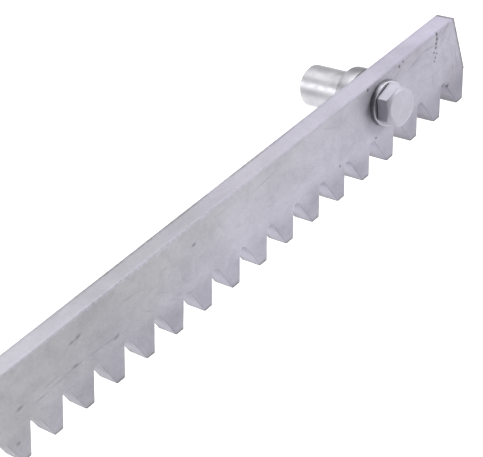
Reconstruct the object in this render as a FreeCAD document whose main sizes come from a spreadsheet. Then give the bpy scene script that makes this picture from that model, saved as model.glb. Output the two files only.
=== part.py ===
import FreeCAD, Part
import math
import os
import Sketcher

V = FreeCAD.Vector

# Sliding-gate gear rack: a flat steel bar with teeth cut along its lower edge, held off the gate by
# threaded spacers.  Each fixing is a hex bolt and a flat washer on the front of the bar and a
# collared, tapped spacer behind it; the bolt passes through an upright slot, so the bar can be
# raised and lowered on its fixings.
#
# Row frame, mm: +X along the bar, +Y towards the gate, +Z up.  The origin is mid-length on the plane
# where the spacers meet the gate, at the height of the bolt axes.

SIZES = [
    ("gear_module", 4, "tooth size: pitch is pi times this"),
    ("tooth_count", 80, "whole teeth on one bar"),
    ("flank_angle", 20, "pressure angle of the straight flanks, degrees"),
    ("tooth_depth", 10, "tip to root"),
    ("root_radius", 0.8, "fillet in the bottom of a tooth gap"),
    ("tip_radius", 0.7, "rounding of the tooth tips"),
    ("bar_height", 29, "tooth tips to the top edge"),
    ("bar_thickness", 8, "front face to back face"),
    ("edge_radius", 0.6, "rolled rounding of the two long top edges"),
    ("end_clearance", 0.7, "bar stops this far short of mid-gap at each end"),
    ("axis_height", 19.4, "bolt axis above the tooth tips"),
    ("fixing_spacing", 308.2, "centre distance of neighbouring fixings"),
    ("fixing_count", 4, "fixings on one bar"),
    ("slot_width", 8.5, "slot across"),
    ("slot_length", 12.5, "slot end to end, upright"),
    ("spacer_length", 24, "gate face to the back of the bar"),
    ("spacer_diameter", 14, "plain body of the spacer"),
    ("collar_diameter", 19, "collar that bears on the bar"),
    ("collar_length", 6, "collar along the axis"),
    ("spacer_chamfer", 0.8, "chamfer round the gate end"),
    ("collar_chamfer", 0.6, "chamfer on both collar rims"),
    ("bore_diameter", 8.1, "threaded length of the bore, plain stand-in"),
    ("bore_depth", 19, "threaded length from the bar end"),
    ("pilot_diameter", 6.8, "drilled rest of the bore"),
    ("washer_diameter", 15.2, "outside"),
    ("washer_hole", 8.4, "inside"),
    ("washer_thickness", 1.7, "flat washer"),
    ("washer_edge", 0.3, "rounded outer rim on the head side"),
    ("head_flats", 12.75, "across flats"),
    ("head_height", 5.2, "bearing face to crown"),
    ("head_chamfer_angle", 30, "chamfer of the hex corners, degrees"),
    ("crown_diameter", 10.9, "flat circle on top of the head"),
    ("seat_diameter", 11.6, "round bearing face under the hex"),
    ("seat_height", 0.35, "bearing face stands down from the hex"),
    ("shank_diameter", 8, "M8 bolt"),
    ("shank_length", 25, "under the head"),
    ("shank_chamfer", 1.0, "lead at the tip"),
]

# Each bolt stops at its own angle when it is done up, degrees about +Y; the two halves mirror.
BOLT_ANGLES = [16, 52, 8, 44]

doc = FreeCAD.newDocument("gate_rack")
sheet = doc.addObject("Spreadsheet::Sheet", "Sizes")
S = {}
for row, (alias, value, meaning) in enumerate(SIZES, start=1):
    sheet.set("A%d" % row, alias)
    sheet.set("B%d" % row, str(value))
    sheet.set("C%d" % row, meaning)
    sheet.setAlias("B%d" % row, alias)
    S[alias] = float(value)
doc.recompute()


def new_body(label):
    body = doc.addObject("PartDesign::Body", label)
    body.Label = label
    return body


def plane(body, role):
    return next(item for item in body.Origin.OriginFeatures if item.Role == role)


def new_sketch(body, role, name):
    sketch = body.newObject("Sketcher::SketchObject", name)
    sketch.AttachmentSupport = [(plane(body, role), "")]
    sketch.MapMode = "FlatFace"
    return sketch


def add_lines(sketch, points):
    """Closed chain of lines through the points, joined end to start."""
    count = len(points)
    for i in range(count):
        a, b = points[i], points[(i + 1) % count]
        sketch.addGeometry(Part.LineSegment(V(a[0], a[1], 0), V(b[0], b[1], 0)), False)
    for i in range(count):
        sketch.addConstraint(Sketcher.Constraint("Coincident", i, 2, (i + 1) % count, 1))


def drive(sketch, constraint, expression):
    """Add a dimension and bind it to the sheet."""
    index = sketch.addConstraint(constraint)
    sketch.setExpression("Constraints[%d]" % index, expression)


def turned(body, name, points, radii, heights):
    """Revolve a closed radial profile (x = radius, y = along the axis) about the Y axis.

    radii and heights give the sheet expression of each point's x and y."""
    sketch = new_sketch(body, "XY_Plane", name + "_profile")
    add_lines(sketch, points)
    for i, (radius, height) in enumerate(zip(radii, heights)):
        for kind, text, value in (("DistanceX", radius, points[i][0]), ("DistanceY", height, points[i][1])):
            if abs(value) < 1e-9:
                axis = -2 if kind == "DistanceX" else -1
                sketch.addConstraint(Sketcher.Constraint("PointOnObject", i, 1, axis))
            elif value > 0:
                drive(sketch, Sketcher.Constraint(kind, -1, 1, i, 1, value), text)
            else:
                drive(sketch, Sketcher.Constraint(kind, i, 1, -1, 1, -value), "-(%s)" % text)
    doc.recompute()
    revolve = body.newObject("PartDesign::Revolution", name)
    revolve.Profile = sketch
    revolve.ReferenceAxis = (sketch, ["V_Axis"])
    revolve.Angle = 360
    body.Tip = revolve
    doc.recompute()
    return revolve


def place(body, index, y_expression, angle=0.0):
    """Put a fixing piece on its bolt axis; index runs from the -X end of the bar."""
    body.Placement = FreeCAD.Placement(V(0, 0, 0), FreeCAD.Rotation(V(0, 1, 0), angle))
    body.setExpression(".Placement.Base.x",
                       "(%d - (Sizes.fixing_count - 1) / 2) * Sizes.fixing_spacing * 1 mm" % index)
    body.setExpression(".Placement.Base.y", "(%s) * 1 mm" % y_expression)


# ---------------------------------------------------------------- rack bar
def make_bar():
    body = new_body("rack_bar")
    pitch = math.pi * S["gear_module"]
    length = pitch * S["tooth_count"] - 2 * S["end_clearance"]
    tip = -S["axis_height"]
    top = tip + S["bar_height"]
    back = -S["spacer_length"]
    front = back - S["bar_thickness"]

    blank = new_sketch(body, "XZ_Plane", "bar_outline")
    add_lines(blank, [(-length / 2, tip), (length / 2, tip), (length / 2, top), (-length / 2, top)])
    blank.addConstraint(Sketcher.Constraint("Horizontal", 2))
    for upright in (1, 3):
        blank.addConstraint(Sketcher.Constraint("Vertical", upright))
    blank.addConstraint(Sketcher.Constraint("Symmetric", 0, 1, 0, 2, -2))
    drive(blank, Sketcher.Constraint("DistanceX", 0, 1, 0, 2, length),
          "(Sizes.gear_module * pi * Sizes.tooth_count - 2 * Sizes.end_clearance) * 1 mm")
    drive(blank, Sketcher.Constraint("DistanceY", 0, 1, -1, 1, -tip), "Sizes.axis_height * 1 mm")
    drive(blank, Sketcher.Constraint("DistanceY", 1, 1, 1, 2, top - tip), "Sizes.bar_height * 1 mm")
    blank.setExpression(".AttachmentOffset.Base.z", "Sizes.spacer_length * 1 mm")
    doc.recompute()
    pad = body.newObject("PartDesign::Pad", "bar_blank")
    pad.Profile = blank
    pad.setExpression("Length", "Sizes.bar_thickness * 1 mm")
    body.Tip = pad
    doc.recompute()

    long_edges = ["Edge%d" % (i + 1) for i, edge in enumerate(pad.Shape.Edges)
                  if edge.Length > length - 1 and abs(edge.CenterOfMass.z - top) < 1e-6]
    rounding = body.newObject("PartDesign::Fillet", "rolled_edges")
    rounding.Base = (pad, long_edges)
    rounding.setExpression("Radius", "Sizes.edge_radius * 1 mm")
    body.Tip = rounding
    doc.recompute()

    # One tooth gap, centred on the first half gap at the -X end, with rounded tips and root.
    alpha = math.radians(S["flank_angle"])
    depth, r_root, r_tip = S["tooth_depth"], S["root_radius"], S["tip_radius"]
    half_tip_gap = pitch / 4 + S["gear_module"] * math.tan(alpha)
    root = tip + depth
    root_set = r_root * math.tan(math.pi / 4 - alpha / 2)
    tip_set = r_tip * math.tan(math.pi / 4 - alpha / 2)
    half_root = half_tip_gap - depth * math.tan(alpha) - root_set
    mouth = half_tip_gap + tip_set
    below = tip - 1.0
    cx = -pitch * S["tooth_count"] / 2

    gap = new_sketch(body, "XZ_Plane", "tooth_gap")
    sin_a, cos_a = math.sin(alpha), math.cos(alpha)

    def side(sign):
        """Flank points on one side, from the tooth tip up to the root."""
        tip_centre = (cx + sign * mouth, tip + r_tip)
        tip_end = (tip_centre[0] - sign * r_tip * cos_a, tip_centre[1] - r_tip * sin_a)
        root_centre = (cx + sign * half_root, root - r_root)
        root_end = (root_centre[0] + sign * r_root * cos_a, root_centre[1] + r_root * sin_a)
        return tip_centre, tip_end, root_centre, root_end

    tc_r, te_r, rc_r, re_r = side(+1)
    tc_l, te_l, rc_l, re_l = side(-1)

    def arc(centre, radius, start, end):
        circle = Part.Circle(V(centre[0], centre[1], 0), V(0, 0, 1), radius)
        return Part.ArcOfCircle(circle, start, end)

    def line(a, b):
        return Part.LineSegment(V(a[0], a[1], 0), V(b[0], b[1], 0))

    half_turn = math.pi
    shapes = [
        line((cx - mouth, below), (cx + mouth, below)),                          # 0 under the tips
        line((cx + mouth, below), (cx + mouth, tip)),                            # 1 right mouth
        arc(tc_r, r_tip, half_turn + alpha, 1.5 * half_turn),                    # 2 right tip
        line(te_r, re_r),                                                        # 3 right flank
        arc(rc_r, r_root, alpha, half_turn / 2),                                 # 4 right root
        line((cx + half_root, root), (cx - half_root, root)),                    # 5 root land
        arc(rc_l, r_root, half_turn / 2, half_turn - alpha),                     # 6 left root
        line(re_l, te_l),                                                        # 7 left flank
        arc(tc_l, r_tip, 1.5 * half_turn, 2 * half_turn - alpha),                # 8 left tip
        line((cx - mouth, tip), (cx - mouth, below)),                            # 9 left mouth
    ]
    gap.addGeometry(shapes, False)
    joins = [(0, 2, 1, 1), (1, 2, 2, 2), (2, 1, 3, 1), (3, 2, 4, 1), (4, 2, 5, 1),
             (5, 2, 6, 1), (6, 2, 7, 1), (7, 2, 8, 2), (8, 1, 9, 1), (9, 2, 0, 1)]
    smooth = {(2, 3), (3, 4), (4, 5), (5, 6), (6, 7), (7, 8)}
    for a, a_end, b, b_end in joins:
        kind = "Tangent" if (a, b) in smooth else "Coincident"
        gap.addConstraint(Sketcher.Constraint(kind, a, a_end, b, b_end))
    gap.addConstraint(Sketcher.Constraint("Horizontal", 0))
    gap.addConstraint(Sketcher.Constraint("Horizontal", 5))
    for mouth_line, tip_arc, end in ((1, 2, 2), (9, 8, 1)):
        gap.addConstraint(Sketcher.Constraint("Vertical", mouth_line))
        gap.addConstraint(Sketcher.Constraint("Vertical", tip_arc, 3, tip_arc, end))
    gap.addConstraint(Sketcher.Constraint("Equal", 2, 8))
    gap.addConstraint(Sketcher.Constraint("Equal", 4, 6))
    drive(gap, Sketcher.Constraint("Radius", 2, r_tip), "Sizes.tip_radius * 1 mm")
    drive(gap, Sketcher.Constraint("Radius", 4, r_root), "Sizes.root_radius * 1 mm")
    drive(gap, Sketcher.Constraint("DistanceY", 5, 1, -1, 1, -root),
          "(Sizes.axis_height - Sizes.tooth_depth) * 1 mm")
    for end_line, end in ((1, 2), (9, 1)):
        drive(gap, Sketcher.Constraint("DistanceY", end_line, end, -1, 1, -tip), "Sizes.axis_height * 1 mm")
    drive(gap, Sketcher.Constraint("DistanceY", 0, 1, -1, 1, -below), "(Sizes.axis_height + 1) * 1 mm")
    drive(gap, Sketcher.Constraint("Angle", 3, half_turn / 2 + alpha), "(90 + Sizes.flank_angle) * 1 deg")
    drive(gap, Sketcher.Constraint("Angle", 7, -half_turn / 2 - alpha), "-(90 + Sizes.flank_angle) * 1 deg")
    set_back = "tan(45 deg - Sizes.flank_angle / 2 * 1 deg)"
    half_gap = "(Sizes.gear_module * pi / 4 + Sizes.gear_module * tan(Sizes.flank_angle * 1 deg))"
    drive(gap, Sketcher.Constraint("DistanceX", 0, 1, 0, 2, 2 * mouth),
          "2 * (%s + Sizes.tip_radius * %s) * 1 mm" % (half_gap, set_back))
    drive(gap, Sketcher.Constraint("DistanceX", 0, 2, -1, 1, -(cx + mouth)),
          "(Sizes.gear_module * pi * Sizes.tooth_count / 2 - %s - Sizes.tip_radius * %s) * 1 mm"
          % (half_gap, set_back))
    doc.recompute()

    cut = body.newObject("PartDesign::Pocket", "first_gap")
    cut.Profile = gap
    cut.Type = "ThroughAll"
    cut.Midplane = True
    body.Tip = cut
    doc.recompute()
    gaps = body.newObject("PartDesign::LinearPattern", "all_gaps")
    gaps.Originals = [cut]
    gaps.Direction = (plane(body, "X_Axis"), [""])
    gaps.setExpression("Length", "Sizes.gear_module * pi * Sizes.tooth_count * 1 mm")
    gaps.setExpression("Occurrences", "Sizes.tooth_count + 1")
    body.Tip = gaps
    doc.recompute()

    # Upright slots for the bolts.
    slot_x = -(S["fixing_count"] - 1) / 2 * S["fixing_spacing"]
    radius = S["slot_width"] / 2
    rise = S["slot_length"] / 2 - radius
    slot = new_sketch(body, "XZ_Plane", "bolt_slot")
    slot.addGeometry([
        arc((slot_x, rise), radius, 0, half_turn),
        line((slot_x - radius, rise), (slot_x - radius, -rise)),
        arc((slot_x, -rise), radius, half_turn, 2 * half_turn),
        line((slot_x + radius, -rise), (slot_x + radius, rise)),
    ], False)
    for a, a_end, b, b_end in ((0, 2, 1, 1), (1, 2, 2, 1), (2, 2, 3, 1), (3, 2, 0, 1)):
        slot.addConstraint(Sketcher.Constraint("Tangent", a, a_end, b, b_end))
    slot.addConstraint(Sketcher.Constraint("Vertical", 1))
    slot.addConstraint(Sketcher.Constraint("Symmetric", 0, 3, 2, 3, -1))
    drive(slot, Sketcher.Constraint("Radius", 0, radius), "Sizes.slot_width / 2 * 1 mm")
    drive(slot, Sketcher.Constraint("DistanceY", 2, 3, 0, 3, 2 * rise),
          "(Sizes.slot_length - Sizes.slot_width) * 1 mm")
    drive(slot, Sketcher.Constraint("DistanceX", 0, 3, -1, 1, -slot_x),
          "(Sizes.fixing_count - 1) / 2 * Sizes.fixing_spacing * 1 mm")
    doc.recompute()
    slot_cut = body.newObject("PartDesign::Pocket", "first_slot")
    slot_cut.Profile = slot
    slot_cut.Type = "ThroughAll"
    slot_cut.Midplane = True
    body.Tip = slot_cut
    doc.recompute()
    slots = body.newObject("PartDesign::LinearPattern", "all_slots")
    slots.Originals = [slot_cut]
    slots.Direction = (plane(body, "X_Axis"), [""])
    slots.setExpression("Length", "(Sizes.fixing_count - 1) * Sizes.fixing_spacing * 1 mm")
    slots.setExpression("Occurrences", "Sizes.fixing_count")
    body.Tip = slots
    doc.recompute()
    return body


# ---------------------------------------------------------------- fixings
def make_spacer(index):
    """Turned spacer: plain body to the gate, collar on the bar, tapped from the bar end."""
    body = new_body("threaded_spacer_%d" % (index + 1))
    r_body, r_collar = S["spacer_diameter"] / 2, S["collar_diameter"] / 2
    r_bore, r_pilot = S["bore_diameter"] / 2, S["pilot_diameter"] / 2
    bar_end = -S["spacer_length"]
    step = bar_end + S["collar_length"]
    c_body, c_collar = S["spacer_chamfer"], S["collar_chamfer"]
    pilot_start = bar_end + S["bore_depth"]
    points = [
        (r_pilot, 0), (r_body - c_body, 0), (r_body, -c_body), (r_body, step),
        (r_collar - c_collar, step), (r_collar, step - c_collar), (r_collar, bar_end + c_collar),
        (r_collar - c_collar, bar_end), (r_bore, bar_end), (r_bore, pilot_start), (r_pilot, pilot_start),
    ]
    pilot, body_r = "Sizes.pilot_diameter / 2", "Sizes.spacer_diameter / 2"
    collar, bore = "Sizes.collar_diameter / 2", "Sizes.bore_diameter / 2"
    end, depth = "-Sizes.spacer_length", "-Sizes.spacer_length + Sizes.bore_depth"
    stepped = "-Sizes.spacer_length + Sizes.collar_length"
    radii = [pilot, body_r + " - Sizes.spacer_chamfer", body_r, body_r,
             collar + " - Sizes.collar_chamfer", collar, collar,
             collar + " - Sizes.collar_chamfer", bore, bore, pilot]
    heights = ["0", "0", "-Sizes.spacer_chamfer", stepped,
               stepped, stepped + " - Sizes.collar_chamfer", end + " + Sizes.collar_chamfer",
               end, end, depth, depth]
    turned(body, "spacer_turning", points, ["(%s) * 1 mm" % r for r in radii],
           ["(%s) * 1 mm" % h for h in heights])
    place(body, index, "0")
    return body


def make_washer(index):
    """Flat washer with its head-side rim rounded over; its back lies on the bar."""
    body = new_body("flat_washer_%d" % (index + 1))
    r_out, r_in = S["washer_diameter"] / 2, S["washer_hole"] / 2
    thick, edge = -S["washer_thickness"], S["washer_edge"]
    points = [(r_in, 0), (r_out, 0), (r_out, thick + edge), (r_out - edge, thick), (r_in, thick)]
    outer, inner = "Sizes.washer_diameter / 2", "Sizes.washer_hole / 2"
    radii = [inner, outer, outer, outer + " - Sizes.washer_edge", inner]
    heights = ["0", "0", "-Sizes.washer_thickness + Sizes.washer_edge",
               "-Sizes.washer_thickness", "-Sizes.washer_thickness"]
    turned(body, "washer_ring", points, ["(%s) * 1 mm" % r for r in radii],
           ["(%s) * 1 mm" % h for h in heights])
    place(body, index, "-Sizes.spacer_length - Sizes.bar_thickness")
    return body


def make_bolt(index):
    """Hex bolt: turned blank with a chamfered head, then the six flats are cut."""
    body = new_body("hex_bolt_%d" % (index + 1))
    r_corner = S["head_flats"] / 2 / math.cos(math.pi / 6)
    r_crown, r_seat, r_shank = S["crown_diameter"] / 2, S["seat_diameter"] / 2, S["shank_diameter"] / 2
    head, seat = S["head_height"], S["seat_height"]
    lead, reach = S["shank_chamfer"], S["shank_length"]
    drop = (r_corner - r_crown) * math.tan(math.radians(S["head_chamfer_angle"]))
    points = [
        (0, -head), (r_crown, -head), (r_corner, -head + drop), (r_corner, -seat), (r_seat, -seat),
        (r_seat, 0), (r_shank, 0), (r_shank, reach - lead), (r_shank - lead, reach), (0, reach),
    ]
    corner = "Sizes.head_flats / 2 / cos(30 deg)"
    crown, seat_r = "Sizes.crown_diameter / 2", "Sizes.seat_diameter / 2"
    shank = "Sizes.shank_diameter / 2"
    slope = "(%s - %s) * tan(Sizes.head_chamfer_angle * 1 deg)" % (corner, crown)
    radii = ["0", crown, corner, corner, seat_r, seat_r, shank, shank, shank + " - Sizes.shank_chamfer", "0"]
    heights = ["-Sizes.head_height", "-Sizes.head_height", "-Sizes.head_height + " + slope,
               "-Sizes.seat_height", "-Sizes.seat_height", "0", "0",
               "Sizes.shank_length - Sizes.shank_chamfer", "Sizes.shank_length", "Sizes.shank_length"]
    turned(body, "bolt_blank", points, ["(%s) * 1 mm" % r for r in radii],
           ["(%s) * 1 mm" % h for h in heights])

    flats = new_sketch(body, "XZ_Plane", "head_flats_outline")
    corners = [(r_corner * math.cos(math.radians(60 * i)), r_corner * math.sin(math.radians(60 * i)))
               for i in range(6)]
    add_lines(flats, corners)
    guide = flats.addGeometry(Part.Circle(V(0, 0, 0), V(0, 0, 1), r_corner), True)
    flats.addConstraint(Sketcher.Constraint("Coincident", guide, 3, -1, 1))
    for i in range(6):
        flats.addConstraint(Sketcher.Constraint("PointOnObject", i, 1, guide))
    for i in range(5):
        flats.addConstraint(Sketcher.Constraint("Equal", i, i + 1))
    flats.addConstraint(Sketcher.Constraint("PointOnObject", 0, 1, -1))
    drive(flats, Sketcher.Constraint("Radius", guide, r_corner), "(%s) * 1 mm" % corner)
    rim = flats.addGeometry(Part.Circle(V(0, 0, 0), V(0, 0, 1), r_corner + 2), False)
    flats.addConstraint(Sketcher.Constraint("Coincident", rim, 3, -1, 1))
    drive(flats, Sketcher.Constraint("Radius", rim, r_corner + 2), "(%s + 2) * 1 mm" % corner)
    doc.recompute()
    cut = body.newObject("PartDesign::Pocket", "head_flats_cut")
    cut.Profile = flats
    cut.Reversed = True
    cut.setExpression("Length", "(Sizes.head_height + 1) * 1 mm")
    body.Tip = cut
    doc.recompute()
    place(body, index, "-Sizes.spacer_length - Sizes.bar_thickness - Sizes.washer_thickness",
          BOLT_ANGLES[index])
    return body


parts = [make_bar()]
for fixing in range(int(S["fixing_count"])):
    parts += [make_spacer(fixing), make_washer(fixing), make_bolt(fixing)]
doc.recompute()

for item in doc.Objects:
    bad = [state for state in item.State if state in ("Invalid", "Error")]
    if bad:
        raise RuntimeError("%s is %s" % (item.Label, bad))
os.makedirs("parts", exist_ok=True)
for body in parts:
    shape = body.Shape
    if shape.isNull() or not shape.isValid() or len(shape.Solids) != 1:
        raise RuntimeError("%s has no single valid solid" % body.Label)
    shape.exportStep("parts/%s.step" % body.Label)
    box = shape.BoundBox
    print("%-20s volume %10.1f mm3  x %.2f..%.2f  y %.2f..%.2f  z %.2f..%.2f" % (
        body.Label, shape.Volume, box.XMin, box.XMax, box.YMin, box.YMax, box.ZMin, box.ZMax))
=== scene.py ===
import math

import bpy
import numpy as np
from mathutils import Matrix, Vector


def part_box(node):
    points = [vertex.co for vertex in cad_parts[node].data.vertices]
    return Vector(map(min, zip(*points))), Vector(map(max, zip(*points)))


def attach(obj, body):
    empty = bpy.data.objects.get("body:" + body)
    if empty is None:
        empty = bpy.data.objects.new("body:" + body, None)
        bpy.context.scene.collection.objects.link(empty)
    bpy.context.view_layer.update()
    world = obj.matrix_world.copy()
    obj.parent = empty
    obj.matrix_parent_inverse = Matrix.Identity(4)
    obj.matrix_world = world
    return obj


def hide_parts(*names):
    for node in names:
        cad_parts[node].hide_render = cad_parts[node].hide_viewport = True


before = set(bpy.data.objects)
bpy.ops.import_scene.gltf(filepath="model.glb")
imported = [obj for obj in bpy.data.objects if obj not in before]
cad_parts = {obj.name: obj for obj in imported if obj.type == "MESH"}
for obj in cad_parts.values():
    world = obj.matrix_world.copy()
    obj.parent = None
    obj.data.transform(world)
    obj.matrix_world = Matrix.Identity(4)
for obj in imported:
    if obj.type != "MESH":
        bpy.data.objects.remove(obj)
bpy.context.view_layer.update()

MM = 0.001

# ---------------------------------------------------------------- sizes, mm
# The same as in the CAD part, except that its hex is 12.75 across flats.
MODULE, TEETH, FLANK = 4.0, 80, math.radians(20)
PITCH = math.pi * MODULE
TOOTH_DEPTH, R_ROOT, R_TIP = 10.0, 0.8, 0.7
END_CLEARANCE = 0.7  # the bar stops this far short of the middle of a tooth gap
lo, hi = (np.array(c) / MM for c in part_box("rack_bar"))
X_END, FRONT, BACK, TIP, TOP = hi[0], lo[1], hi[1], lo[2], hi[2]
ROOT = TIP + TOOTH_DEPTH
SLOT_WIDTH, SLOT_LENGTH = 8.5, 12.5
FIXINGS = []
for n in range(1, 5):
    a, b = (np.array(c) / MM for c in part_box(f"flat_washer_{n}"))
    FIXINGS.append((n, (a[0] + b[0]) / 2))
BOLT_ANGLES = [16, 52, 8, 44]
WASHER, WASHER_HOLE_R, WASHER_R = 1.7, 4.2, 7.6
BODY_R, COLLAR_R, COLLAR_LENGTH = 7.0, 9.5, 6.0
BORE_R, BORE_DEPTH, PILOT_R = 4.05, 19.0, 3.4
HEX_FLATS, HEX_CORNER_R, SHANK_LENGTH = 12.72, 0.6, 25.0


# ---------------------------------------------------------------- materials
class Nodes:
    """Small helper that adds and links shader nodes of one material."""

    def __init__(self, name):
        self.material = bpy.data.materials.new(name)
        self.material.use_nodes = True
        self.tree = self.material.node_tree
        self.bsdf = self.tree.nodes["Principled BSDF"]
        self.coords = self.tree.nodes.new("ShaderNodeTexCoord").outputs["Object"]

    def link(self, a, b):
        self.tree.links.new(a, b)

    def scaled(self, scale, turn=0.0):
        """Object coordinates turned about the object's Y axis and then stretched."""
        vector = self.coords
        for key, value in (("Rotation", (0, math.radians(turn), 0)), ("Scale", scale)):
            if key == "Scale" or turn:
                node = self.tree.nodes.new("ShaderNodeMapping")
                node.inputs[key].default_value = value
                self.link(vector, node.inputs["Vector"])
                vector = node.outputs["Vector"]
        return vector

    def axis(self, name):
        node = self.tree.nodes.new("ShaderNodeSeparateXYZ")
        self.link(self.coords, node.inputs["Vector"])
        return node.outputs[name]

    def attribute(self, name):
        node = self.tree.nodes.new("ShaderNodeAttribute")
        node.attribute_name = name
        return node.outputs["Fac"]

    def spots(self, marks):
        """1 on small oval marks, 0 elsewhere; each is x, z, half length, half width in mm and an angle."""
        total = None
        for x, z, length, width, turn in marks:
            place = self.tree.nodes.new("ShaderNodeMapping")
            place.inputs["Location"].default_value = (-x * MM, 0, -z * MM)
            self.link(self.coords, place.inputs["Vector"])
            shape = self.tree.nodes.new("ShaderNodeMapping")
            shape.vector_type = "TEXTURE"
            shape.inputs["Rotation"].default_value = (0, math.radians(-turn), 0)
            shape.inputs["Scale"].default_value = (length * MM, 1.0, width * MM)
            self.link(place.outputs["Vector"], shape.inputs["Vector"])
            size = self.tree.nodes.new("ShaderNodeVectorMath")
            size.operation = "LENGTH"
            self.link(shape.outputs["Vector"], size.inputs[0])
            spot = self.ramp(size.outputs["Value"], [(0.25, 1.0), (1.0, 0.0)])
            total = spot if total is None else self.maths("MAXIMUM", total, spot)
        return total

    def noise(self, scale, detail=4.0, rough=0.55, stretch=(1, 1, 1), distortion=0.0, turn=0.0):
        node = self.tree.nodes.new("ShaderNodeTexNoise")
        node.inputs["Scale"].default_value = scale
        node.inputs["Detail"].default_value = detail
        node.inputs["Roughness"].default_value = rough
        node.inputs["Distortion"].default_value = distortion
        self.link(self.scaled(stretch, turn), node.inputs["Vector"])
        return node.outputs["Fac"]

    def ramp(self, value, stops):
        node = self.tree.nodes.new("ShaderNodeValToRGB")
        ramp = node.color_ramp
        while len(ramp.elements) < len(stops):
            ramp.elements.new(0.5)
        for element, (position, colour) in zip(ramp.elements, stops):
            element.position = position
            grey = colour if isinstance(colour, tuple) else (colour,) * 3
            element.color = (*grey, 1)
        self.link(value, node.inputs["Fac"])
        return node.outputs["Color"]

    def mix(self, fac, a, b, blend="MIX"):
        node = self.tree.nodes.new("ShaderNodeMix")
        node.data_type = "RGBA"
        node.blend_type = blend
        for socket, value in ((node.inputs["Factor"], fac), (node.inputs["A"], a), (node.inputs["B"], b)):
            if isinstance(value, bpy.types.NodeSocket):
                self.link(value, socket)
            elif isinstance(value, tuple):
                socket.default_value = (*value, 1)
            else:
                socket.default_value = value
        return node.outputs["Result"]

    def maths(self, operation, a, b):
        node = self.tree.nodes.new("ShaderNodeMath")
        node.operation = operation
        for socket, value in zip(node.inputs, (a, b)):
            if isinstance(value, bpy.types.NodeSocket):
                self.link(value, socket)
            else:
                socket.default_value = value
        return node.outputs["Value"]

    def times(self, *values):
        """The product of sockets and numbers."""
        product = values[0]
        for value in values[1:]:
            product = self.maths("MULTIPLY", product, value)
        return product

    def tint(self, colour, factor, where=None):
        """colour times factor: everywhere, or only as far as the mask where says."""
        tinted = self.mix(1.0, colour, factor, "MULTIPLY")
        return tinted if where is None else self.mix(where, colour, tinted)

    def fade(self, value, low, high):
        """0 at low, 1 at high, straight between and clamped outside."""
        node = self.tree.nodes.new("ShaderNodeMapRange")
        self.link(value, node.inputs["Value"])
        node.inputs["From Min"].default_value = low
        node.inputs["From Max"].default_value = high
        return node.outputs["Result"]

    def bump(self, height, distance, strength=1.0, before=None):
        node = self.tree.nodes.new("ShaderNodeBump")
        node.inputs["Distance"].default_value = distance
        node.inputs["Strength"].default_value = strength
        self.link(height, node.inputs["Height"])
        if before is not None:
            self.link(before, node.inputs["Normal"])
        return node.outputs["Normal"]

    def finish(self, colour, roughness, normal, metallic):
        self.link(colour, self.bsdf.inputs["Base Color"])
        self.link(roughness, self.bsdf.inputs["Roughness"])
        self.link(normal, self.bsdf.inputs["Normal"])
        self.bsdf.inputs["Metallic"].default_value = metallic
        return self.material


# Marks on the bar's front face: x, z, half length and half width in mm, and angle in degrees. The dents are
# drawn as dark spots, which is painted shade.
DENT_SHADES = [
    (492.1, 8.8, 1.00, 0.80, 80), (491.7, 7.3, 1.05, 0.80, 80), (490.9, 6.0, 0.90, 0.70, 70),
    (490.4, 4.7, 0.80, 0.62, 0), (489.1, 3.5, 0.62, 0.50, 0), (489.2, 1.6, 0.60, 0.48, 40),
    (490.3, 2.6, 0.52, 0.42, 0), (488.4, 0.6, 0.52, 0.42, 0), (491.8, -11.0, 1.60, 0.75, 15),
    (489.8, -11.6, 1.30, 0.50, -30), (455.9, 8.4, 0.85, 0.60, 60), (472.0, 8.0, 0.90, 0.65, 30),
    (474.2, 8.6, 0.60, 0.45, 0), (372.4, 3.4, 1.20, 0.65, 10),
    (298.8, -3.5, 2.10, 0.75, 6), (324.1, 3.5, 1.80, 0.75, 16), (321.6, 3.3, 1.60, 0.60, 8),
    (336.4, -5.4, 1.70, 0.80, 12), (320.2, -4.1, 1.50, 0.55, 0), (294.4, -13.0, 1.10, 0.85, 20),
    (436.5, -8.6, 0.60, 0.45, 30), (454.6, -8.9, 0.60, 0.50, 0),
]
SCRATCHES = [
    (496.6, 8.3, 4.8, 0.55, 24), (493.2, 7.9, 2.6, 0.45, 40), (486.9, 6.2, 4.8, 0.46, -8),
    (479.0, 5.2, 5.6, 0.42, 14), (497.5, 4.5, 3.6, 0.24, 48), (496.0, 7.0, 3.2, 0.22, 52),
    (493.8, 5.4, 3.0, 0.22, 50), (498.8, -4.0, 6.0, 0.30, 84), (496.3, -6.5, 5.0, 0.28, 80),
    (470.5, 6.0, 6.0, 0.26, 25), (486.0, -5.0, 5.0, 0.26, 76), (491.0, -12.5, 3.4, 0.28, -38),
    (306.0, -5.4, 4.5, 0.34, 2), (313.5, -4.9, 3.5, 0.30, 3), (320.5, -4.4, 4.0, 0.38, 0),
    (328.0, -4.7, 4.5, 0.30, -2), (334.0, -5.1, 3.0, 0.38, -3), (311.0, -3.2, 4.0, 0.24, 5),
    (345.0, 3.0, 5.0, 0.24, -4), (405.0, 5.5, 6.0, 0.22, 4),
]

# Painted light and shade along the bar: how much each face's zinc colour is lightened or darkened, by
# distance from mid-length in metres.
FRONT_PAINTED_LIGHT = [(0.300, 1.01), (0.331, 0.90), (0.360, 1.0), (0.390, 1.08), (0.455, 1.03), (0.488, 0.94)]
TOP_PAINTED_LIGHT = [(0.300, (1.22, 1.195, 1.245)), (0.345, (1.03, 1.015, 1.05)),
            (0.375, (1.03, 1.015, 1.05)), (0.420, (1.19, 1.165, 1.215))]
FLANK_PAINTED_LIGHT = [(0.270, 0.95), (0.307, 0.80), (0.325, 0.92), (0.370, 1.05), (0.405, 1.24), (0.470, 1.28)]


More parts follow.
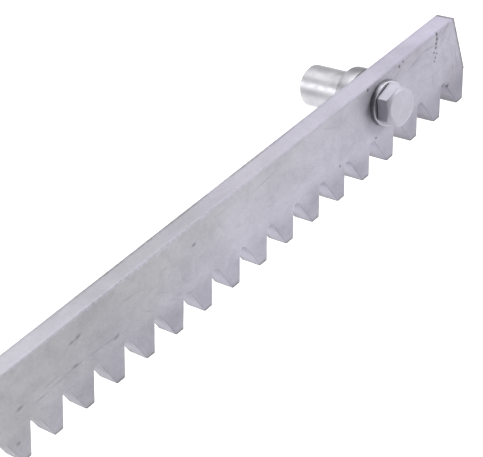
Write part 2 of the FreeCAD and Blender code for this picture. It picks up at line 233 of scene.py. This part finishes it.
def galvanised(name):
    """Hot-dip zinc gone matt: neutral grey drifting to lavender, soft clouds, grime, scratches, painted
    shade in the dents, painted light and shade along the bar, and a painted highlight on the front top edge.
    """
    m = Nodes(name)
    length = m.maths("ABSOLUTE", m.axis("X"), 0)
    front = m.fade(m.axis("Y"), (FRONT + 0.7) * MM, (FRONT + 0.3) * MM)
    sides = m.maths("SUBTRACT", 1.0, front)
    upper = m.fade(m.axis("Z"), (TOP - 0.6) * MM, (TOP - 0.2) * MM)

    # Base colour, then the tone of each face along the bar; on the front, top and flanks this is painted
    # light and shade.
    along = m.times(m.maths("SUBTRACT", length, 0.315), 5.5)
    down = m.times(m.maths("SUBTRACT", 0.002, m.axis("Z")), 24.0)
    drift = m.maths("ADD", m.maths("ADD", along, down), m.maths("SUBTRACT", m.noise(32, 4, 0.6), 0.5))
    colour = m.ramp(drift, [(0.0, (0.360, 0.358, 0.377)), (0.85, (0.377, 0.364, 0.428))])
    colour = m.tint(colour, m.ramp(length, FRONT_PAINTED_LIGHT), front)
    teeth = m.times(m.fade(m.axis("Z"), (ROOT + 1.5) * MM, (ROOT - 3.5) * MM),
                    m.ramp(length, [(0.318, 0.50), (0.345, 0.90), (0.470, 1.0)]), front,
                    m.ramp(m.noise(42, 2), [(0.42, 0.6), (0.56, 1.0)]))
    colour = m.tint(colour, (0.80, 0.80, 0.81), teeth)
    # Painted shade: the lower part of the last tooth at each end is darkened.
    last_tooth_shade = m.times(m.fade(m.axis("Z"), (ROOT + 5) * MM, (ROOT - 1) * MM), m.fade(length, 0.476, 0.492))
    colour = m.tint(colour, (0.86, 0.855, 0.86), last_tooth_shade)
    colour = m.tint(colour, m.ramp(length, TOP_PAINTED_LIGHT), upper)
    flank = m.times(sides, m.fade(m.axis("Z"), (ROOT + 0.5) * MM, (ROOT - 3.0) * MM))
    colour = m.tint(colour, m.ramp(length, FLANK_PAINTED_LIGHT), flank)
    # Painted shade on the flanks of the teeth near the ends, broken up by noise.
    far_flank_shade = m.times(m.ramp(length, [(0.455, 0.0), (0.476, 1.0)]),
                    m.ramp(m.noise(300, 3, 0.6), [(0.36, 0.45), (0.56, 1.0)]))
    colour = m.tint(colour, (0.80, 0.80, 0.80), m.times(flank, far_flank_shade))
    lowest = m.times(sides, m.fade(m.axis("Z"), (TIP + 6.5) * MM, (TIP + 1.5) * MM),
                     m.ramp(length, [(0.36, 0.15), (0.455, 0.9)]))
    colour = m.tint(colour, (0.62, 0.62, 0.61), lowest)
    # Painted light: the rounded edge between the teeth's fronts and flanks is lightened so that its shading
    # shows no dark crease.
    rim = m.times(m.fade(m.axis("Y"), (FRONT + 0.10) * MM, (FRONT + 0.22) * MM),
                  m.fade(m.axis("Y"), (FRONT + 0.75) * MM, (FRONT + 0.45) * MM),
                  m.fade(m.axis("Z"), (ROOT + 0.2) * MM, (ROOT - 0.4) * MM))
    colour = m.tint(colour, (1.08, 1.08, 1.08), rim)

    # Mottling, the lines of rolling, and fine scratches in three directions.
    clouds = m.ramp(m.noise(55, 5, 0.6, (1, 1, 1.5), 0.5), [(0.30, 0.90), (0.70, 1.07)])
    blotches = m.ramp(m.noise(150, 5, 0.65, (1, 1, 1), 0.8), [(0.46, 1.0), (0.68, 0.90)])
    grain = m.ramp(m.noise(1300, 3, 0.7), [(0.30, 0.93), (0.70, 1.04)])
    colour = m.tint(m.tint(m.tint(colour, blotches, front), clouds), grain)
    rolled = m.ramp(m.noise(1.0, 4, 0.65, (20, 20, 520), 0.6), [(0.52, 1.0), (0.72, 0.95)])
    colour = m.tint(colour, rolled, m.ramp(m.noise(18, 2), [(0.45, 0.0), (0.60, 1.0)]))
    for turn, spread in ((58, 1.0), (-34, 1.3), (83, 1.7)):
        fine = m.ramp(m.noise(spread, 1, 0.4, (60, 60, 1500), 0.15, turn), [(0.68, 1.0), (0.78, 0.90)])
        where = m.ramp(m.noise(30 * spread, 2), [(0.50, 0.0), (0.62, 1.0)])
        colour = m.tint(colour, fine, where)

    # Marks and dirt: scratches, painted shade in the dents, then grime on the sawn ends, tooth tips and the
    # far top edge.
    scratch = m.times(m.spots(SCRATCHES), front, m.noise(700, 4, 0.7))
    colour = m.mix(m.times(scratch, 0.90), colour, (0.17, 0.165, 0.185))
    # Painted shade: dark spots where the dents are.
    dent_shade = m.times(m.spots(DENT_SHADES), front, m.ramp(length, [(0.34, 0.50), (0.45, 1.0)]))
    colour = m.mix(m.times(dent_shade, 0.88), colour, (0.05, 0.048, 0.06))
    patchy = m.ramp(m.noise(420, 4, 0.7), [(0.36, 0.50), (0.58, 1.0)])
    sawn = m.fade(length, (X_END - 1.4) * MM, (X_END - 0.4) * MM)
    tips = m.fade(m.axis("Z"), (TIP + 1.15) * MM, (TIP + 0.45) * MM)
    far_rim = m.times(upper, m.ramp(m.noise(260, 4, 0.7), [(0.38, 0.0), (0.50, 1.0)]),
                      m.fade(m.axis("Y"), (BACK - 1.8) * MM, (BACK - 0.3) * MM),
                      m.ramp(length, [(0.325, 0.3), (0.345, 1.0), (0.420, 0.9), (0.440, 0.3)]))
    grime_and_shade = m.maths("MAXIMUM", m.maths("MAXIMUM", m.attribute("grime_and_shade"), sawn),
                    m.maths("MAXIMUM", tips, far_rim))
    colour = m.mix(m.times(grime_and_shade, patchy, 0.84), colour, (0.085, 0.083, 0.080))

    # The front top edge is painted brighter in places: a painted highlight along the edge, speckled like
    # rubbed zinc.
    edge = m.times(m.fade(m.axis("Z"), (TOP - 1.1) * MM, (TOP - 0.6) * MM),
                   m.fade(m.axis("Y"), (FRONT + 1.1) * MM, (FRONT + 0.6) * MM))
    edge_wear_and_highlight = m.times(edge, m.ramp(length, [(0.318, 0.7), (0.345, 1.0), (0.400, 0.7), (0.430, 0.1)]),
                     m.ramp(m.noise(750, 4, 0.7), [(0.38, 0.15), (0.62, 1.0)]))
    colour = m.mix(m.times(edge_wear_and_highlight, 0.42), colour, (0.60, 0.58, 0.69))

    # Only the flat front is smooth enough to mirror the fixings.
    glossy = m.times(front, m.fade(m.axis("Z"), (TOP - 0.6) * MM, (TOP - 1.2) * MM))
    rough = m.mix(glossy, (0.66, 0.66, 0.66), m.ramp(m.noise(160, 4, 0.6), [(0.3, 0.39), (0.7, 0.52)]))
    normal = m.bump(m.noise(420, 5, 0.65), 0.00004, 0.5)
    normal = m.bump(m.noise(75, 3, 0.5), 0.00020, 0.5, normal)
    return m.finish(colour, rough, normal, 0.45)


def zinc(name, tint, roughness, turned, metallic=0.9):
    """Electroplated zinc.  turned adds the lathe's rings round the object's own Y axis."""
    m = Nodes(name)
    low, high = tint
    colour = m.ramp(m.noise(110, 4, 0.6), [(0.30, low), (0.70, high)])
    stain = m.ramp(m.noise(260, 5, 0.65, (1, 1, 1), 0.8), [(0.58, 1.0), (0.75, 0.80)])
    colour = m.mix(0.7, colour, stain, "MULTIPLY")
    # Pointiness: painted shade in the hollows, and sharp edges lightened.
    edge = m.tree.nodes.new("ShaderNodeNewGeometry").outputs["Pointiness"]
    colour = m.tint(colour, m.ramp(edge, [(0.42, 0.72), (0.49, 1.0), (0.52, 1.0), (0.58, 1.10)]))
    # The vertex darkening read here is painted shade on the bolts and washers, and painted shade and dirt on
    # the spacer collars.
    grime_and_shade = m.times(m.attribute("grime_and_shade"), m.ramp(m.noise(500, 3, 0.6), [(0.30, 0.75), (0.60, 1.0)]))
    colour = m.mix(grime_and_shade, colour, (0.09, 0.088, 0.098))
    rough = m.ramp(m.noise(400, 3, 0.6), [(0.3, roughness - 0.05), (0.7, roughness + 0.07)])
    normal = m.bump(m.noise(700, 4, 0.6), 0.00003, 0.4)
    if turned:
        rings = m.noise(1.0, 2, 0.5, (25, 3200, 25))
        normal = m.bump(rings, 0.00002, turned, normal)
    return m.finish(colour, rough, normal, metallic)


GALVANISED = galvanised("galvanised_zinc")
SPACER_ZINC = zinc("turned_zinc", ((0.39, 0.385, 0.41), (0.50, 0.495, 0.52)), 0.42, 0.25)
BOLT_ZINC = zinc("bolt_zinc", ((0.372, 0.362, 0.412), (0.448, 0.438, 0.502)), 0.56, 0.0, 0.45)
WASHER_ZINC = zinc("washer_zinc", ((0.41, 0.40, 0.45), (0.54, 0.53, 0.58)), 0.44, 0.0, 0.75)


# ---------------------------------------------------------------- mesh helpers
def make_piece(name, verts, faces, material, body, node, angle=30):
    """A mesh from points in mm, smooth but for edges sharper than angle, with its material, tied to its
    body; the CAD node it stands for is hidden.
    """
    mesh = bpy.data.meshes.new(name)
    mesh.from_pydata([tuple(v) for v in np.asarray(verts) * MM], [], faces)
    mesh.validate()
    mesh.update()
    mesh.shade_smooth()
    mesh.set_sharp_from_angle(angle=math.radians(angle))
    mesh.materials.append(material)
    piece = bpy.data.objects.new(name, mesh)
    bpy.context.scene.collection.objects.link(piece)
    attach(piece, body)
    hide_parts(node)
    return piece


def soil_and_shade(piece, amount):
    """Stores how much each vertex is darkened, 0 to 1, for the materials to read: grime on the bar, painted
    shade on the bolts and washers, painted shade and dirt on the spacer collars.
    """
    layer = piece.data.attributes.new("grime_and_shade", "FLOAT", "POINT")
    layer.data.foreach_set("value", np.clip(amount, 0, 1).astype(np.float32))


def loft(rings, closed_rows=False):
    """Quads between rings of equal length; each ring is closed on itself."""
    count = len(rings[0])
    verts = np.concatenate(rings)
    faces = []
    last = len(rings) if closed_rows else len(rings) - 1
    for r in range(last):
        a, b = r * count, (r + 1) % len(rings) * count
        faces += [(a + i, a + (i + 1) % count, b + (i + 1) % count, b + i) for i in range(count)]
    return verts, faces


def ring(radius, y, angles):
    radius = np.broadcast_to(radius, angles.shape)
    y = np.broadcast_to(y, angles.shape)
    return np.column_stack([radius * np.cos(angles), y, -radius * np.sin(angles)])


def rounded(profile, segments=4):
    """(radius, y, corner radius) points of a lathe profile, closed, with its corners rounded off."""
    out = []
    for i, (x, y, r) in enumerate(profile):
        here = np.array([x, y])
        if r == 0:
            out.append(here)
            continue
        before, after = np.array(profile[i - 1][:2]), np.array(profile[(i + 1) % len(profile)][:2])
        u, v = before - here, after - here
        u, v = u / np.linalg.norm(u), v / np.linalg.norm(v)
        half = math.acos(np.clip(u @ v, -1, 1)) / 2
        start, end = here + u * r / math.tan(half), here + v * r / math.tan(half)
        centre = here + (u + v) / np.linalg.norm(u + v) * r / math.sin(half)
        for t in np.linspace(0, 1, segments + 1):
            d = (start - centre) * (1 - t) + (end - centre) * t
            out.append(centre + d / np.linalg.norm(d) * r)
    return out


# ---------------------------------------------------------------- rack bar
def tooth_outline():
    """Half a tooth, from the middle of the gap to the middle of the tip: x, z and outward normal."""
    half_gap = PITCH / 4 + MODULE * math.tan(FLANK)
    set_back = math.tan(math.pi / 4 - FLANK / 2)
    half_root = half_gap - TOOTH_DEPTH * math.tan(FLANK) - R_ROOT * set_back
    mouth = half_gap + R_TIP * set_back
    rows = [(0.0, ROOT, 0.0, -1.0)]
    for angle in np.linspace(math.pi / 2, FLANK, 6):
        c, s = math.cos(angle), math.sin(angle)
        rows.append((half_root + R_ROOT * c, ROOT - R_ROOT + R_ROOT * s, -c, -s))
    start = np.array(rows[-1][:2])
    tip_c = np.array([mouth, TIP + R_TIP])
    end = tip_c - R_TIP * np.array([math.cos(FLANK), math.sin(FLANK)])
    for t in np.linspace(0, 1, 9)[1:-1]:
        x, z = start * (1 - t) + end * t
        rows.append((x, z, -math.cos(FLANK), -math.sin(FLANK)))
    for angle in np.linspace(math.pi + FLANK, 1.5 * math.pi, 6):
        c, s = math.cos(angle), math.sin(angle)
        rows.append((tip_c[0] + R_TIP * c, tip_c[1] + R_TIP * s, c, s))
    rows.append((PITCH / 2 - 0.4, TIP, 0.0, -1.0))
    return np.array(rows)


def smooth_noise(points, scale, seed):
    """Cheap value noise: sums of sines with random directions, about -1 to 1."""
    r = np.random.default_rng(seed)
    total = np.zeros(len(points))
    for _ in range(10):
        d = r.normal(size=3)
        d /= np.linalg.norm(d)
        total += np.sin(points @ d * (2 * math.pi / scale) * r.uniform(0.6, 1.7) + r.uniform(0, 6.28))
    return total / 4.5


def cut_slots(bar):
    """Cuts the upright slots.  A cutter whose faces don't point outwards cuts nothing and gives no error."""
    angles = np.linspace(0, 2 * math.pi, 49)[:-1]
    count, radius = len(angles), SLOT_WIDTH / 2
    rise = SLOT_LENGTH / 2 - radius
    x = radius * np.cos(angles)
    z = radius * np.sin(angles) + np.where(np.sin(angles) >= 0, rise, -rise)
    verts, faces = [], []
    for _, cx in FIXINGS:
        base = len(verts)
        for y in (FRONT - 3, BACK + 3):
            verts += list(zip(cx + x, np.full_like(x, y), z))
        for i in range(count):
            j = (i + 1) % count
            faces.append((base + i, base + count + i, base + count + j, base + j))
        faces.append(tuple(range(base, base + count)))
        faces.append(tuple(range(base + 2 * count - 1, base + count - 1, -1)))
    mesh = bpy.data.meshes.new("slot_cutter")
    mesh.from_pydata([tuple(v) for v in np.array(verts) * MM], [], faces)
    cutter = bpy.data.objects.new("slot_cutter", mesh)
    bpy.context.scene.collection.objects.link(cutter)
    slots = bar.modifiers.new("slots", "BOOLEAN")
    slots.operation, slots.solver, slots.object = "DIFFERENCE", "EXACT", cutter
    with bpy.context.temp_override(object=bar, active_object=bar, selected_objects=[bar]):
        bpy.ops.object.modifier_apply(modifier=slots.name)
    bpy.data.objects.remove(cutter)


def make_bar():
    """The toothed bar: its outline drawn as a grid on both faces, joined by rounded edges, then slotted."""
    half = tooth_outline()
    mirrored = half[::-1] * [-1, 1, -1, 1] + [PITCH, 0, 0, 0]
    tooth = np.concatenate([half, mirrored[:-1]])
    lower = np.concatenate([tooth + [PITCH * (k - TEETH / 2), 0, 0, 0] for k in range(TEETH)])
    inside = np.abs(lower[:, 0]) < X_END - 0.02
    lower = lower[inside]
    z_end = np.interp(END_CLEARANCE, half[:8, 0], half[:8, 1])
    lower = np.concatenate([[(-X_END, z_end, 0, -1)], lower, [(X_END, z_end, 0, -1)]])
    x, z, nx, nz = lower.T
    columns, rows = len(x), 14
    share = np.linspace(0, 1, rows + 1)
    edge_low, edge_top, edge_depth = 0.28, 0.6, 0.45

    # Zinc build-up and wear make no two teeth quite the same.
    wobble = smooth_noise(np.column_stack([x, z, 0 * x]), 9.0, 5) * 0.10
    wobble *= np.clip((ROOT - z) / TOOTH_DEPTH + 0.25, 0, 1)
    wobble[[0, -1]] = 0
    px, pz = x + nx * np.minimum(wobble, 0.0), z + nz * np.minimum(wobble, 0.0)

    def grid(inset, y):
        """Vertices of one flat layer of the bar, drawn in by inset from its outline."""
        d_low, d_top = inset * edge_low, inset * edge_top
        gx, gz = px - nx * d_low, pz - nz * d_low
        gx[0], gx[-1] = -X_END + d_low, X_END - d_low
        gz[0], gz[-1] = z_end + d_low * 0.4, z_end + d_low * 0.4
        tx = np.clip(x, -X_END + d_low, X_END - d_low)
        blend = share[:, None] ** 1.3
        layer_x = gx * (1 - blend) + tx * blend
        layer_z = gz + (TOP - d_top - gz) * share[:, None]
        return np.stack([layer_x, np.full_like(layer_x, y), layer_z], axis=-1)

    def border(layer):
        return np.concatenate([layer[0], layer[1:-1, -1], layer[-1, ::-1], layer[-2:0:-1, 0]])

    front, back = grid(1.0, FRONT), grid(1.0, BACK)
    loops = []
    for t in np.linspace(0, math.pi / 2, 5)[1:]:
        loops.append(border(grid(1 - math.sin(t), FRONT)) + [0, edge_depth * (1 - math.cos(t)), 0])
    for t in (0.25, 0.5, 0.75):
        flat = BACK - FRONT - 2 * edge_depth
        loops.append(border(grid(0.0, FRONT + edge_depth + flat * t)))
    for t in np.linspace(math.pi / 2, 0, 5)[:-1]:
        loops.append(border(grid(1 - math.sin(t), BACK)) - [0, edge_depth * (1 - math.cos(t)), 0])

    index = np.arange((rows + 1) * columns).reshape(rows + 1, columns)
    rim = border(index[..., None])[:, 0]
    verts = [front.reshape(-1, 3), back.reshape(-1, 3)] + loops
    size = index.size
    faces = []
    for r in range(rows):
        for c in range(columns - 1):
            q = (index[r, c], index[r, c + 1], index[r + 1, c + 1], index[r + 1, c])
            faces.append(q)
            faces.append(tuple(size + i for i in reversed(q)))
    chain = [rim] + [2 * size + k * len(rim) + np.arange(len(rim)) for k in range(len(loops))] + [size + rim]
    for a, b in zip(chain, chain[1:]):
        for i in range(len(rim)):
            j = (i + 1) % len(rim)
            faces.append((a[j], a[i], b[i], b[j]))
    verts = np.concatenate(verts)
    # Slight waves of the zinc coat, always a little into the steel so that the fixings slide clear of it.
    side = np.sign(verts[:, 1] - (FRONT + BACK) / 2)
    swell = smooth_noise(verts, 26.0, 3) * 0.035 + smooth_noise(verts, 7.0, 4) * 0.015
    verts[:, 1] -= side * np.clip(swell + 0.05, 0.015, 0.10)
    faces = [tuple(int(i) for i in f) for f in faces]
    bar = make_piece("rack_bar_zinc", verts, faces, GALVANISED, "bar", "rack_bar", 40)

    # Grime gathers on the sharp lower rims of the teeth and the sawn ends.
    reach = np.where(verts[:, 1] > BACK - 1, 6.5, 3.5)
    low = np.clip((TIP + reach - verts[:, 2]) / (reach - 1), 0, 1)
    ends = np.clip((np.abs(verts[:, 0]) - X_END + 0.5) / 0.3, 0, 1)
    middle = np.clip(np.minimum(verts[:, 1] - FRONT, BACK - verts[:, 1]) / 1.2, 0, 1)
    rim_share = np.zeros(len(verts))
    rim_share[2 * size:] = 1.0
    rim_share[rim], rim_share[size + rim] = 0.5, 0.5
    front_share = np.clip((verts[:, 1] - FRONT) / (BACK - FRONT), 0.25, 1)
    grime_and_shade = np.clip(np.maximum(low, 0.9 * ends) * rim_share * (1 - 0.55 * middle) * front_share, 0, 1)
    soil_and_shade(bar, grime_and_shade)

    cut_slots(bar)


# ---------------------------------------------------------------- fixings
ANGLES = np.linspace(0, 2 * math.pi, 97)[:-1]


def hex_radius(angles, flats, corner_radius):
    """Distance to a hexagon's side with its corners rounded."""
    r_in = flats / 2
    local = (angles + math.pi / 6) % (math.pi / 3) - math.pi / 6
    flat = r_in / np.cos(np.abs(math.pi / 6 - np.abs(local)))
    centre = r_in / math.cos(math.pi / 6) - corner_radius / math.cos(math.pi / 6)
    inside = corner_radius ** 2 - (centre * np.sin(local)) ** 2
    arc = centre * np.cos(local) + np.sqrt(np.maximum(inside, 0))
    return np.where(inside > 0, np.minimum(flat, arc), flat)


def make_bolt(n, cx, angle):
    """Hex head with a chamfered crown and a round seat, and a rolled M8 thread on the shank."""
    head, seat, crown, seat_r = 5.2, 0.35, 5.45, 5.8
    hexagon = hex_radius(ANGLES, HEX_FLATS, HEX_CORNER_R)
    slope = math.tan(math.radians(32))

    def cone(r):
        return -head + (r - crown) * slope

    outline = [
        (0.05, -head + 0.06), (1.8, -head + 0.06), (3.6, -head + 0.055), (4.6, -head + 0.03), (5.0, -head),
        (crown - 0.18, -head + 0.005), (crown + 0.02, -head + 0.05), (crown + 0.25, cone(crown + 0.25)),
        (hexagon - 0.12, cone(hexagon - 0.12)), (hexagon - 0.03, cone(hexagon) + 0.02),
        (hexagon, cone(hexagon) + 0.16), (hexagon, np.maximum(cone(hexagon) + 0.3, -3.6)),
        (hexagon, -seat - 1.2), (hexagon, -seat - 0.25), (hexagon - 0.08, -seat - 0.04),
        (hexagon - 0.25, -seat), (seat_r + 0.1, -seat), (seat_r, -seat + 0.08), (seat_r, -0.04),
        (seat_r - 0.1, 0.0), (4.4, 0.0),
    ]
    rings = [ring(radius, y, ANGLES) for radius, y in outline]
    thread_pitch, major, minor = 1.25, 3.98, 3.30
    for y in np.arange(0.15, SHANK_LENGTH - 0.01, 0.125):
        phase = (y / thread_pitch - ANGLES / (2 * math.pi)) % 1.0
        ramp = np.clip((np.abs(phase - 0.5) - 0.07) / 0.36, 0, 1)
        r = minor + (major - minor) * ramp
        r = np.where(y < 1.4, major - (major - r) * np.clip((y - 0.3) / 1.1, 0, 1), r)
        rings.append(ring(np.minimum(r, 3.0 + (SHANK_LENGTH - y)), y, ANGLES))
    rings += [ring(2.95, SHANK_LENGTH, ANGLES), ring(0.05, SHANK_LENGTH, ANGLES)]
    verts, faces = loft(rings)
    total = len(verts)
    faces += [tuple(range(len(ANGLES) - 1, -1, -1)), tuple(range(total - len(ANGLES), total))]
    turn = math.radians(angle)
    spin = np.array([[math.cos(turn), 0, math.sin(turn)], [0, 1, 0], [-math.sin(turn), 0, math.cos(turn)]])
    under_head = np.clip((verts[:, 1] + seat + 0.12) / 0.1, 0, 1)
    verts = verts @ spin.T + [cx, FRONT - WASHER, 0]
    bolt = make_piece(f"hex_bolt_{n}_zinc", verts, faces, BOLT_ZINC, f"bolt_{n}",
                      f"hex_bolt_{n}", 32)
    # Painted shade: the seat under the head and the shank are darkened.
    soil_and_shade(bolt, 0.75 * under_head)


def lathe(name, profile, cx, y0, material, body, node):
    """A closed profile turned about the Y axis, with its faces outwards."""
    rings = [ring(r, y, ANGLES) for r, y in rounded(profile)]
    verts, faces = loft(rings, closed_rows=True)
    faces = [face[::-1] for face in faces]
    return make_piece(name, verts + [cx, y0, 0], faces, material, body, node, 35), verts


def make_washer(n, cx):
    """Stamped washer: rolled over on the head side, a small burr edge on the bar side."""
    profile = [(WASHER_HOLE_R, 0, 0.08), (WASHER_R, 0, 0.10), (WASHER_R, -WASHER, 0.40),
               (WASHER_HOLE_R, -WASHER, 0.25)]
    washer, local = lathe(f"flat_washer_{n}_zinc", profile, cx, FRONT, WASHER_ZINC, f"washer_{n}",
                          f"flat_washer_{n}")
    # Painted shade: the washer's outer wall, all but its head-side edge, is darkened.
    outside = np.hypot(local[:, 0], local[:, 2]) > WASHER_R - 0.3
    soil_and_shade(washer, 0.7 * outside * np.clip((local[:, 1] + WASHER - 0.1) / 0.3, 0, 1))


def make_spacer(n, cx):
    """Turned spacer: gate end at y = 0, collar against the bar, bored from there, then a pilot hole."""
    end, step = BACK, BACK + COLLAR_LENGTH
    profile = [
        (PILOT_R, 0, 0.15), (BODY_R - 0.8, 0, 0.2), (BODY_R, -0.8, 0.35), (BODY_R, step, 0.35),
        (COLLAR_R - 0.5, step, 0.15), (COLLAR_R, step - 0.5, 0.35), (COLLAR_R, end + 0.6, 0.35),
        (COLLAR_R - 0.6, end, 0.15), (BORE_R + 0.55, end, 0.1), (BORE_R, end + 0.5, 0.1),
        (BORE_R, end + BORE_DEPTH, 0.1), (PILOT_R, end + BORE_DEPTH + 0.4, 0.1),
    ]
    spacer, local = lathe(f"threaded_spacer_{n}_zinc", profile, cx, 0.0, SPACER_ZINC, f"spacer_{n}",
                          f"threaded_spacer_{n}")
    # Painted shade and dirt: the collar next to the bar is darkened.
    soil_and_shade(spacer, np.where(local[:, 1] < step + 0.3, 0.42, 0.0))


make_bar()
for (number, centre_x), bolt_angle in zip(FIXINGS, BOLT_ANGLES):
    make_spacer(number, centre_x)
    make_washer(number, centre_x)
    make_bolt(number, centre_x, bolt_angle)

# ---------------------------------------------------------------- floor, light, camera
FLOOR_REACH = 6.0
floor_mesh = bpy.data.meshes.new("studio_floor")
corners = [(x * FLOOR_REACH, y * FLOOR_REACH, 0) for x, y in ((-1, -1), (1, -1), (1, 1), (-1, 1))]
floor_mesh.from_pydata(corners, [], [(0, 1, 2, 3)])
floor = bpy.data.objects.new("studio_floor", floor_mesh)
floor.location = (0, 0, -0.50)
paper = bpy.data.materials.new("studio_floor")
paper.use_nodes = True
paper_inputs = paper.node_tree.nodes["Principled BSDF"].inputs
paper_inputs["Base Color"].default_value = (0.96, 0.96, 0.96, 1)
paper_inputs["Roughness"].default_value = 0.9
paper_inputs["Emission Color"].default_value = (1.0, 1.0, 1.0, 1)
paper_inputs["Emission Strength"].default_value = 0.12
paper_inputs["Specular IOR Level"].default_value = 0.1
floor_mesh.materials.append(paper)
bpy.context.scene.collection.objects.link(floor)

world = bpy.data.worlds.new("studio")
bpy.context.scene.world = world
world.use_nodes = True
world.node_tree.nodes["Background"].inputs["Color"].default_value = (0.93, 0.94, 1.0, 1)
world.node_tree.nodes["Background"].inputs["Strength"].default_value = 0.12


def softbox(name, position, target, size, power):
    """A rectangular light at position that faces target; size is its width and height."""
    data = bpy.data.lights.new(name, "AREA")
    data.shape, data.size, data.size_y, data.energy = "RECTANGLE", size[0], size[1], power
    lamp = bpy.data.objects.new(name, data)
    lamp.location = position
    lamp.rotation_mode = "QUATERNION"
    lamp.rotation_quaternion = (Vector(position) - Vector(target)).to_track_quat("Z", "Y")
    bpy.context.scene.collection.objects.link(lamp)


softbox("key", (1.79, -1.85, 0.72), (0.40, 0, 0), (0.9, 0.9), 44)
softbox("top", (1.0, 1.5, 3.8), (0.8, 0.9, 0), (4.0, 1.6), 180)
softbox("back", (0.55, 1.35, 0.95), (0.43, 0, 0), (2.2, 1.9), 4.0)
softbox("backdrop", (-0.60, 1.05, 0.22), (0.46, 0, 0), (1.9, 1.1), 3.8)
softbox("back_right", (1.62, 1.06, 0.10), (0.46, 0, 0), (1.9, 1.1), 3.6)
softbox("back_left", (-0.41, 0.92, 0.50), (0.46, 0, 0), (0.62, 0.46), 4.8)
softbox("under", (0.17, 0.12, -0.27), (0.38, -0.03, -0.01), (0.35, 0.35), 0.36)

# The photo's camera, from a fit to the bar, bolt, washer and spacer in it.
camera_data = bpy.data.cameras.new("camera")
camera_data.sensor_width = 36.0
camera_data.lens = 135.87
camera_data.clip_start, camera_data.clip_end = 0.02, 30
camera = bpy.data.objects.new("camera", camera_data)
azimuth, elevation, roll = math.radians(-38.05), math.radians(32.29), math.radians(-16.195)
towards = Vector((math.sin(azimuth) * math.cos(elevation), -math.cos(azimuth) * math.cos(elevation),
                  math.sin(elevation)))
turn = towards.to_track_quat("Z", "Y").to_matrix() @ Matrix.Rotation(roll, 3, "Z")
camera.matrix_world = Matrix.Translation((0.1033, -0.3999, 0.2921)) @ turn.to_4x4()
bpy.context.scene.collection.objects.link(camera)
bpy.context.scene.camera = camera

view = bpy.context.scene.view_settings
view.view_transform, view.look, view.exposure, view.gamma = "Standard", "None", 0.0, 1.0
